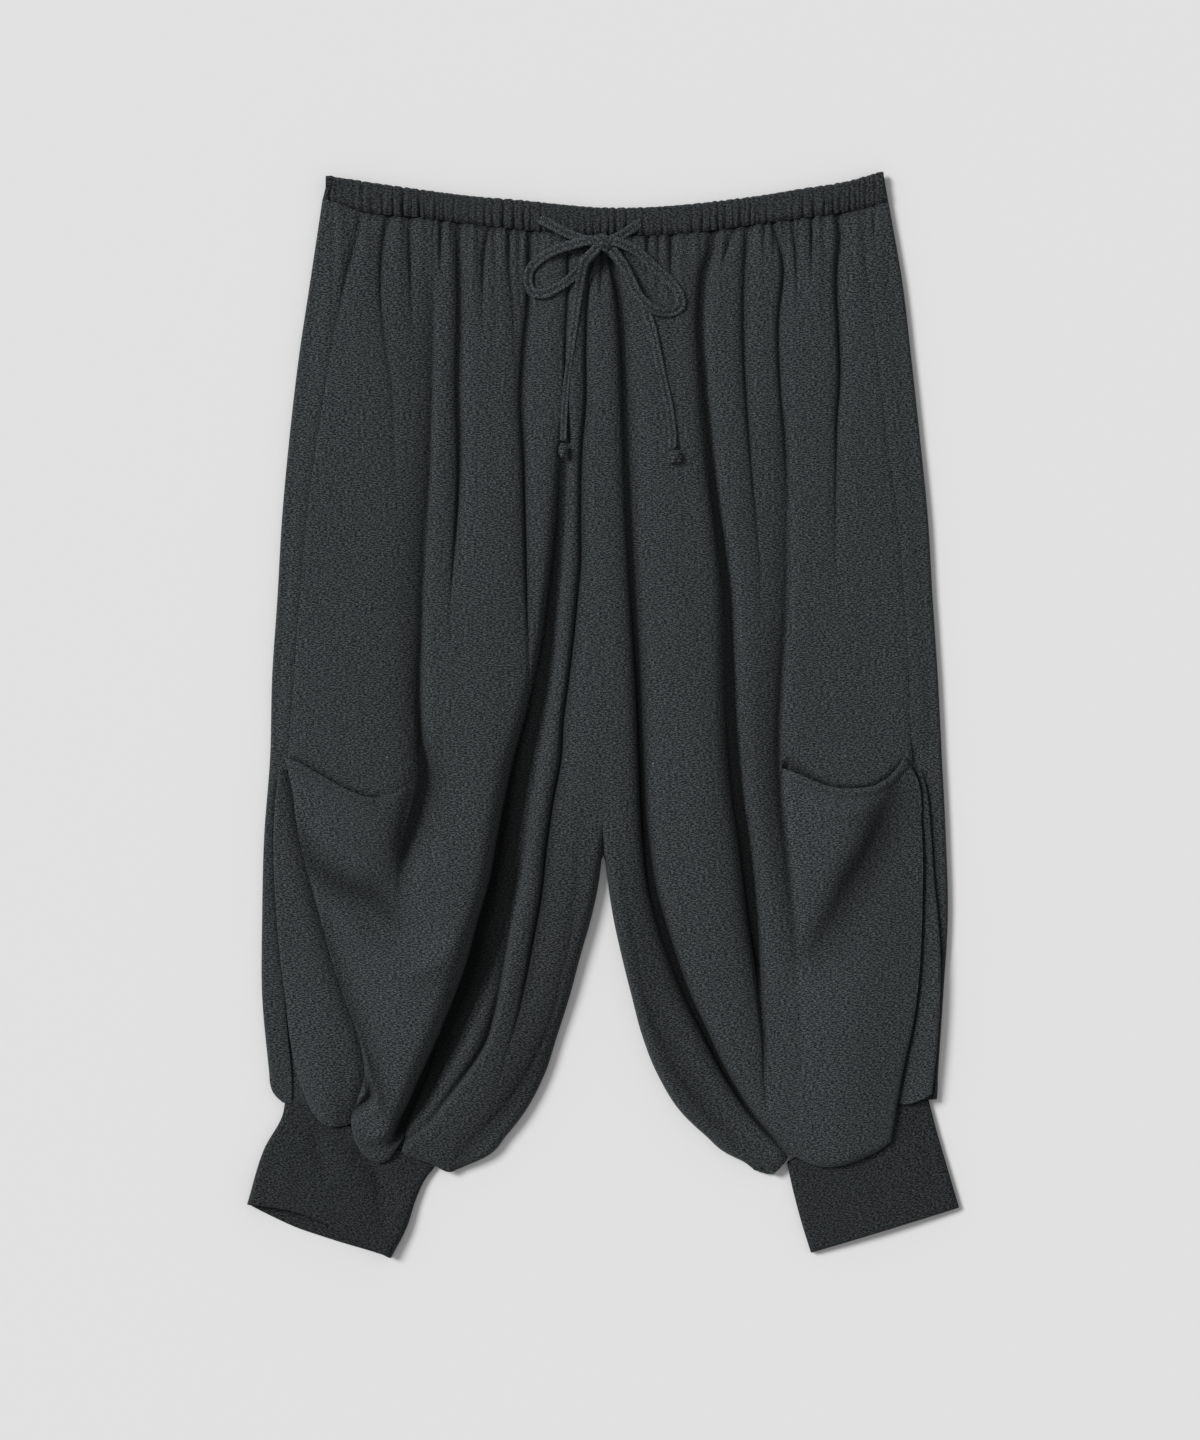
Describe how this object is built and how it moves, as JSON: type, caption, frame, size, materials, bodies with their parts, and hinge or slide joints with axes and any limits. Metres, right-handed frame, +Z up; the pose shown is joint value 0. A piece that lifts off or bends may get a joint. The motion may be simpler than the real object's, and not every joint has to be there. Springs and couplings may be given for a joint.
{
  "type": "balloon pants",
  "caption": "Dark grey jersey trousers laid flat, with a gathered drawstring waist, long soft folds, pouch-shaped pockets at the knees and narrow cuffs.",
  "frame": {"origin": "on the surface the garment lies on, under the middle of its outline", "axes": "+Z up, away from the surface; +Y towards the waist; +X to the right of the garment as it is seen from above, front side up"},
  "size_m": [0.5358, 0.8135, 0.0238],
  "materials": {
    "waistband": "matte melange jersey",
    "leg": "matte melange jersey",
    "pouch": "matte melange jersey",
    "cuff": "matte melange jersey",
    "tie": "matte melange jersey"
  },
  "bodies": {
    "root": {"waistband_front": "waistband", "waistband_back": "waistband", "front_left": "leg", "front_right": "leg", "back_left": "leg", "back_right": "leg", "pocket_left": "pouch", "pocket_right": "pouch", "side_left": "pouch", "side_right": "pouch", "cuff_left_front": "cuff", "cuff_left_back": "cuff", "cuff_right_front": "cuff", "cuff_right_back": "cuff", "tie_lead_left": "tie", "tie_lead_right": "tie", "tie_loop_left": "tie", "tie_loop_right": "tie", "tie_tail_left": "tie", "tie_tail_right": "tie", "tie_knot": "tie", "tie_end_left": "tie", "tie_end_right": "tie"}
  },
  "joints": []
}
